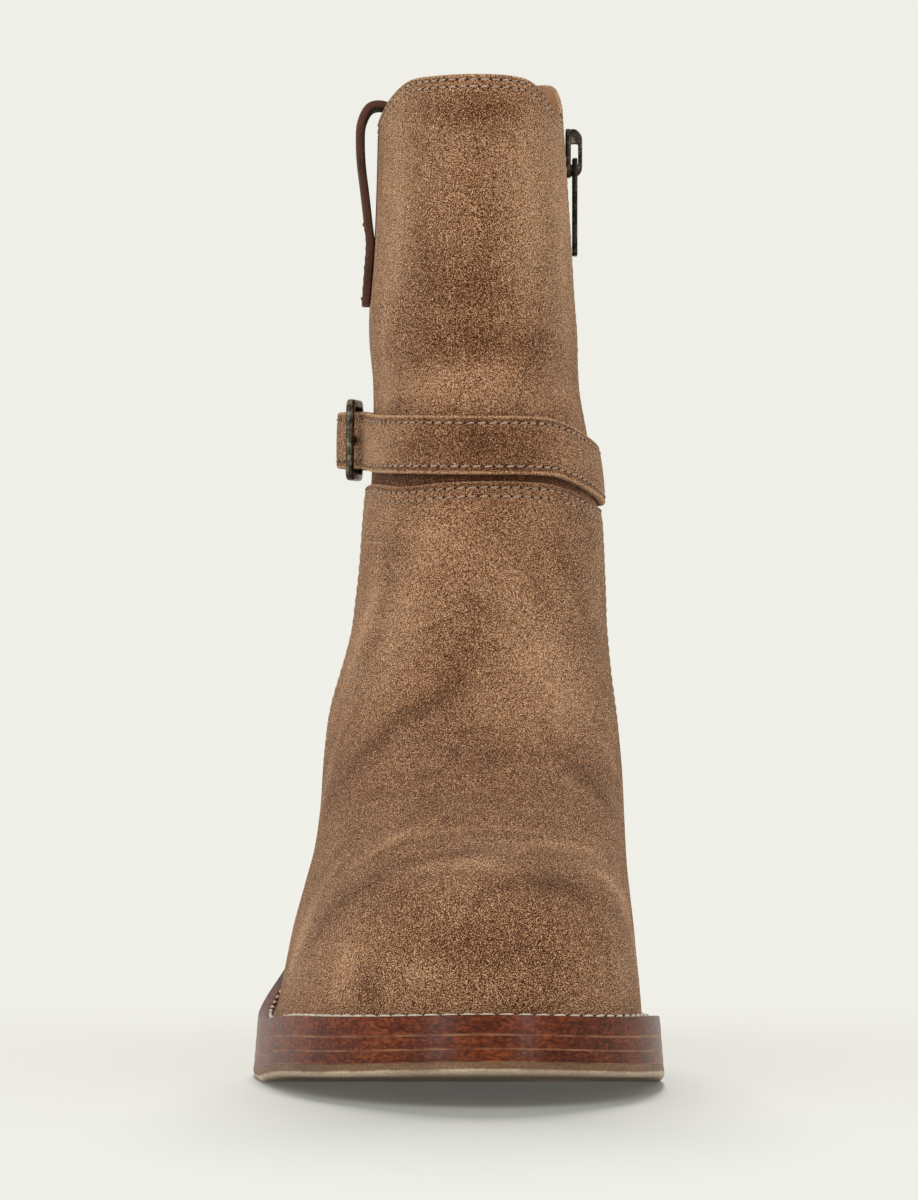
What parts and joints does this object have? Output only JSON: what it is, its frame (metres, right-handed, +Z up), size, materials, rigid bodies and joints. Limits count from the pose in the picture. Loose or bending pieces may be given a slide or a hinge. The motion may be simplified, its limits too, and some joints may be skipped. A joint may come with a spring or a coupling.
{
  "type": "zip boot",
  "caption": "Heeled ankle boot with a side zip, a buckled ankle strap, a stacked layered sole and a pull loop at the collar; one empty right boot standing on its sole",
  "frame": {"origin": "middle of the heel's rest face, on the floor", "axes": "+X to the inner side of the right foot, -Y to the toe, +Z up"},
  "size_m": [0.1029, 0.2499, 0.2623],
  "materials": {
    "suede": "brushed mid-brown suede with darker and paler rubbed patches",
    "stacked_leather": "glossy red-brown edge of stacked leather, greyer towards the sides",
    "outsole_leather": "matt tan sole leather",
    "top_lift_rubber": "matt dark rubber",
    "lining_leather": "smooth tan lining leather",
    "loop_leather": "dark red-brown smooth leather",
    "zip_tape": "woven dark brown tape",
    "aged_metal": "dark aged metal with rubbed bright edges"
  },
  "bodies": {
    "boot": {"welt": "stacked_leather", "midsole_upper": "stacked_leather", "midsole_lower": "stacked_leather", "outsole": "outsole_leather", "heel_stack": "stacked_leather", "top_lift": "top_lift_rubber", "insole": "lining_leather", "upper": "suede", "vamp": "suede", "strap": "suede", "pull_loop": "loop_leather", "zip_tape": "zip_tape", "zip_teeth": "aged_metal", "zip_slider": "aged_metal", "buckle_frame": "aged_metal", "buckle_prong": "aged_metal"},
    "zip_pull": {"zip_pull": "aged_metal"}
  },
  "joints": [
    {"name": "zip_pull_swing", "type": "hinge", "parent": "boot", "child": "zip_pull", "pos_m": [0.02621, -0.02563, 0.23777], "axis": [0, -1, 0], "range_deg": [0, 150]}
  ]
}
